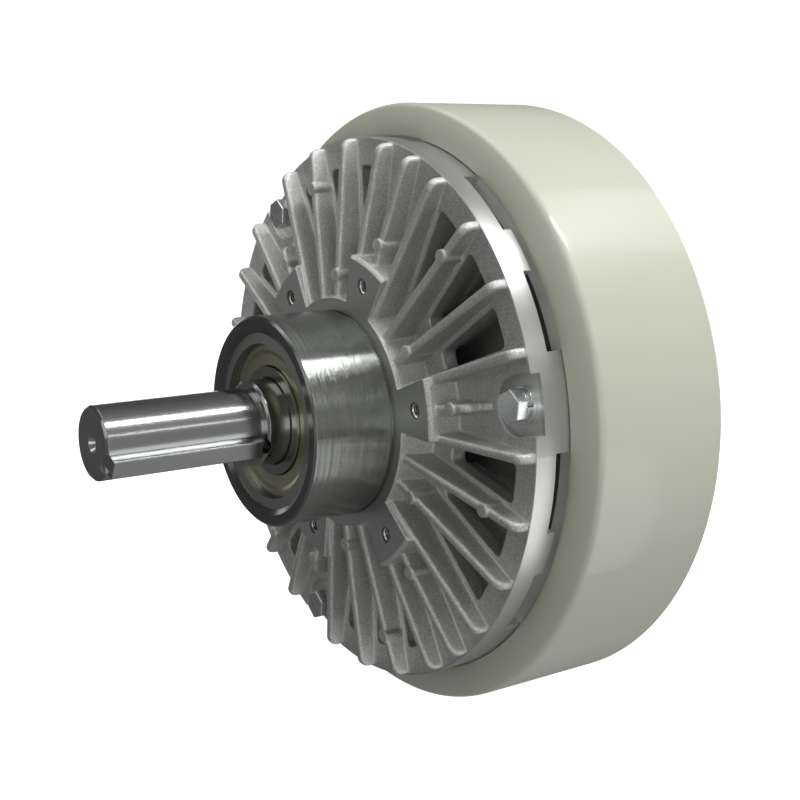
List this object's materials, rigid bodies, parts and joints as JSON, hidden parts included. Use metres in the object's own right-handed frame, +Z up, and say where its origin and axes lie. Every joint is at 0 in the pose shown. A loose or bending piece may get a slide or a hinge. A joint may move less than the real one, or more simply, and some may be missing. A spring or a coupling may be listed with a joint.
{
  "type": "magnetic powder brake",
  "caption": "Naturally cooled magnetic powder brake with a painted round yoke, finned aluminium bracket, pilot hub and keyed shaft.",
  "frame": {"origin": "where the shaft axis crosses the six mounting pads of the front bracket", "axes": "-Y along the shaft towards its free end, +Z up"},
  "size_m": [0.22, 0.1974, 0.22],
  "materials": {
    "yoke_paint": "glossy grey-green enamel",
    "cast_aluminium": "blasted casting with machined faces",
    "turned_steel": "turned",
    "ground_steel": "ground",
    "bearing_steel": "lapped",
    "bearing_shield": "oiled sheet",
    "pressed_steel": "pressed sheet",
    "spring_steel": "oil blackened",
    "zinc_plate": "bright zinc plate",
    "seal_felt": "pressed felt",
    "turned_aluminium": "turned",
    "non_magnetic_brass": "turned",
    "coil_winding": "enamelled copper wire",
    "bobbin_plastic": "glass filled",
    "block_plastic": "phenolic moulding",
    "iron_powder": "dry powder"
  },
  "bodies": {
    "housing": {"bearing_sleeve": "turned_steel", "chamber_plate_screws": "zinc_plate", "coil_bobbin": "bobbin_plastic", "coil_leads": "coil_winding", "field_coil": "coil_winding", "flux_barrier_ring": "non_magnetic_brass", "front_bearing_outer_ring": "bearing_steel", "front_bearing_shields": "bearing_shield", "front_bracket": "cast_aluminium", "front_bracket_bolts": "zinc_plate", "front_bracket_flat_washers": "zinc_plate", "front_bracket_spring_washers": "zinc_plate", "front_chamber_plate": "turned_steel", "front_circlip": "spring_steel", "front_felt_seal": "seal_felt", "magnetic_powder": "iron_powder", "preload_washer": "pressed_steel", "rear_bearing_outer_ring": "bearing_steel", "rear_bearing_shields": "bearing_shield", "rear_bracket": "cast_aluminium", "rear_bracket_bolts": "zinc_plate", "rear_bracket_flat_washers": "zinc_plate", "rear_bracket_spring_washers": "zinc_plate", "rear_cover": "turned_steel", "rear_cover_screws": "zinc_plate", "rear_felt_seal": "seal_felt", "rear_pole_ring": "turned_steel", "terminal_block": "block_plastic", "terminal_block_screws": "zinc_plate", "terminal_screws": "zinc_plate", "yoke_body": "yoke_paint"},
    "rotor": {"shaft": "ground_steel", "shaft_key": "ground_steel", "rotor_key": "ground_steel", "rotor_drum": "turned_steel", "rotor_circlip": "spring_steel", "rear_shaft_circlip": "spring_steel", "front_labyrinth_ring": "turned_aluminium", "front_bearing_inner_ring": "bearing_steel", "rear_bearing_inner_ring": "bearing_steel"},
    "front_cage": {"front_bearing_cage": "pressed_steel", "front_bearing_balls": "bearing_steel"},
    "rear_cage": {"rear_bearing_cage": "pressed_steel", "rear_bearing_balls": "bearing_steel"}
  },
  "joints": [
    {"name": "shaft_spin", "type": "hinge", "parent": "housing", "child": "rotor", "pos_m": [0, 0, 0], "axis": [0, -1, 0], "continuous": true},
    {"name": "front_cage_spin", "type": "hinge", "parent": "housing", "child": "front_cage", "pos_m": [0, 0, 0], "axis": [0, -1, 0], "continuous": true},
    {"name": "rear_cage_spin", "type": "hinge", "parent": "housing", "child": "rear_cage", "pos_m": [0, 0, 0], "axis": [0, -1, 0], "continuous": true}
  ],
  "couplings": [
    {"joint": "front_cage_spin", "follows": "shaft_spin", "ratio": 0.39647},
    {"joint": "rear_cage_spin", "follows": "shaft_spin", "ratio": 0.39691}
  ]
}
